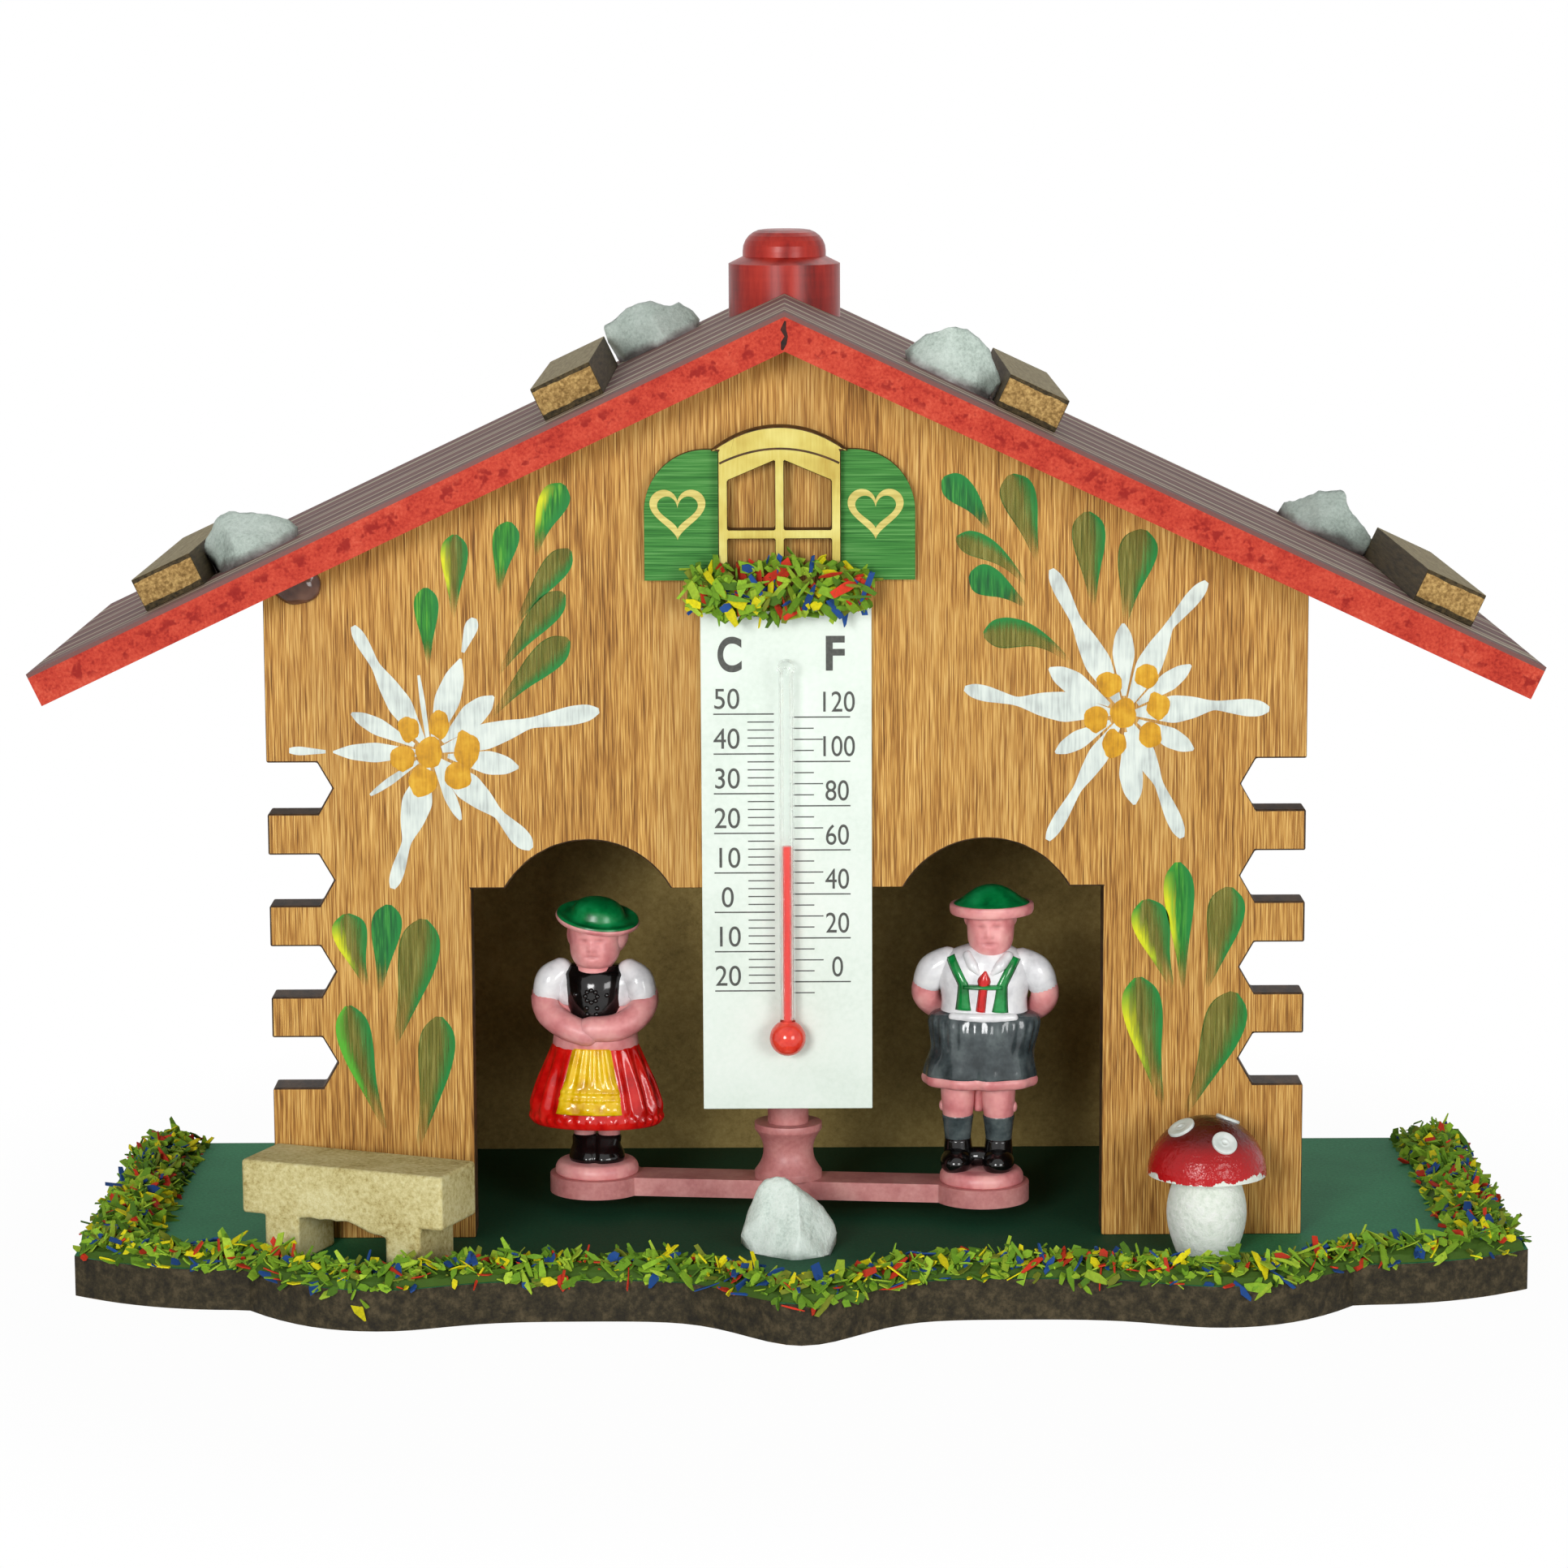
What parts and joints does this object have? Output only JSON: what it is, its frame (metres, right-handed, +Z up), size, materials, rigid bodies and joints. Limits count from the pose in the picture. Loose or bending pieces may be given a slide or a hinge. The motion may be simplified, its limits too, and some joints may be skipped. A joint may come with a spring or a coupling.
{
  "type": "weather house",
  "caption": "Small wooden chalet whose man and woman swing in and out of a wide doorway on a humidity-driven carrier, with a thermometer on the gable and a garden on the base.",
  "frame": {"origin": "middle of the overall footprint, on the underside of the base board", "axes": "+X to the right seen from the front, +Y from the front to the back, +Z up"},
  "size_m": [0.1804, 0.0948, 0.1264],
  "materials": {
    "board_green": "painted matte",
    "stained_ply": "stained",
    "inner_board": "raw",
    "roof_red": "painted matte",
    "roof_stripes": "striped",
    "chimney_red": "painted satin",
    "slat_ply": "raw",
    "pale_stone": "matte",
    "window_cream": "painted matte",
    "shutter_green": "painted matte",
    "flakes": "dyed flakes",
    "scale_card": "printed",
    "clear_glass": "gloss",
    "red_spirit": "liquid",
    "pink_moulding": "moulded",
    "painted_figure": "hand painted",
    "gut": "translucent",
    "plain_wood": "raw",
    "white_cotton": "spun cotton",
    "red_cotton": "painted spun cotton",
    "flower_white": "brush painted",
    "flower_yellow": "brush painted",
    "leaf_green": "brush painted",
    "print_black": "printed ink",
    "glue_brown": "set glue"
  },
  "bodies": {
    "house": {"base_board": "board_green", "front_wall": "stained_ply", "back_wall": "inner_board", "side_wall_left": "stained_ply", "side_wall_right": "stained_ply", "roof_board_left": "roof_red", "roof_board_right": "roof_red", "roof_cover_left": "roof_stripes", "roof_cover_right": "roof_stripes", "chimney": "chimney_red", "hanger_block": "plain_wood", "window_frame": "window_cream", "shutter_left": "shutter_green", "shutter_right": "shutter_green", "window_flowers": "flakes", "thermometer_card": "scale_card", "thermometer_tube": "clear_glass", "thermometer_spirit": "red_spirit", "slat_upper_left": "slat_ply", "slat_lower_left": "slat_ply", "slat_upper_right": "slat_ply", "slat_lower_right": "slat_ply", "stone_upper_left": "pale_stone", "stone_lower_left": "pale_stone", "stone_upper_right": "pale_stone", "stone_lower_right": "pale_stone", "bench": "plain_wood", "mushroom_stalk": "white_cotton", "mushroom_cap": "red_cotton", "front_stone": "pale_stone", "turf_front": "flakes", "turf_left": "flakes", "turf_right": "flakes"},
    "adjuster": {"adjuster_plug": "plain_wood"},
    "carrier": {"figure_carrier": "pink_moulding", "woman": "painted_figure", "man": "painted_figure", "gut_strand": "gut", "gut_anchor": "pink_moulding"}
  },
  "joints": [
    {"name": "adjuster_turn", "type": "hinge", "parent": "house", "child": "adjuster", "pos_m": [0, -0.0036, 0.096], "axis": [0, 0, 1], "range_deg": [-8, 8]},
    {"name": "figure_swing", "type": "hinge", "parent": "adjuster", "child": "carrier", "pos_m": [0, -0.0036, 0.0074], "axis": [0, 0, 1], "range_deg": [-21.5, 34.5]}
  ]
}
